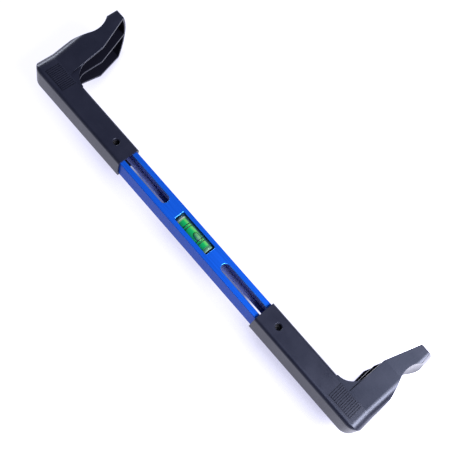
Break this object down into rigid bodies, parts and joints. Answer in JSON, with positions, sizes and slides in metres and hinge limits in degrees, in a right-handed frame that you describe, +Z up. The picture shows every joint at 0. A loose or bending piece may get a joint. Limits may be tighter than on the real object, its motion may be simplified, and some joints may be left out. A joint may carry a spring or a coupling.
{
  "type": "steering wheel level",
  "caption": "Adjustable steering wheel level: blue square bar with a green spirit vial and black hooks sliding on its ends to grip the rim of a steering wheel.",
  "frame": {"origin": "middle of the square bar", "axes": "+X along the bar towards the right hook, +Y from the bar towards the finger tips, +Z up through the vial window"},
  "size_m": [0.4392, 0.0999, 0.0646],
  "materials": {
    "blue_anodised": "satin blue anodised extrusion",
    "charcoal_abs": "fine moulded satin charcoal plastic",
    "dark_plastic": "matt dark plastic",
    "clear_acrylic": "clear polished acrylic",
    "green_liquid": "clear green liquid",
    "gas": "clear gas",
    "white_strip": "matt white strip",
    "black_line": "black paint filled into a groove",
    "zinc_steel": "bright zinc plated",
    "black_steel": "black oxide",
    "bush_nylon": "matt black nylon"
  },
  "bodies": {
    "bar": {"bar": "blue_anodised", "vial_carrier": "dark_plastic", "carrier_screws": "zinc_steel", "vial_backing": "white_strip", "vial_barrel": "clear_acrylic", "vial_liquid": "green_liquid", "vial_bubble": "gas", "vial_plug": "clear_acrylic", "vial_rings": "black_line"},
    "left_hook": {"left_hook": "charcoal_abs", "left_guide_screw": "black_steel", "left_guide_bush": "bush_nylon", "left_guide_nut": "zinc_steel"},
    "right_hook": {"right_hook": "charcoal_abs", "right_guide_screw": "black_steel", "right_guide_bush": "bush_nylon", "right_guide_nut": "zinc_steel"}
  },
  "joints": [
    {"name": "left_slide", "type": "slide", "parent": "bar", "child": "left_hook", "axis": [-1, 0, 0], "range_m": [-0.0682, 0.006]},
    {"name": "right_slide", "type": "slide", "parent": "bar", "child": "right_hook", "axis": [1, 0, 0], "range_m": [-0.0682, 0.006]}
  ]
}
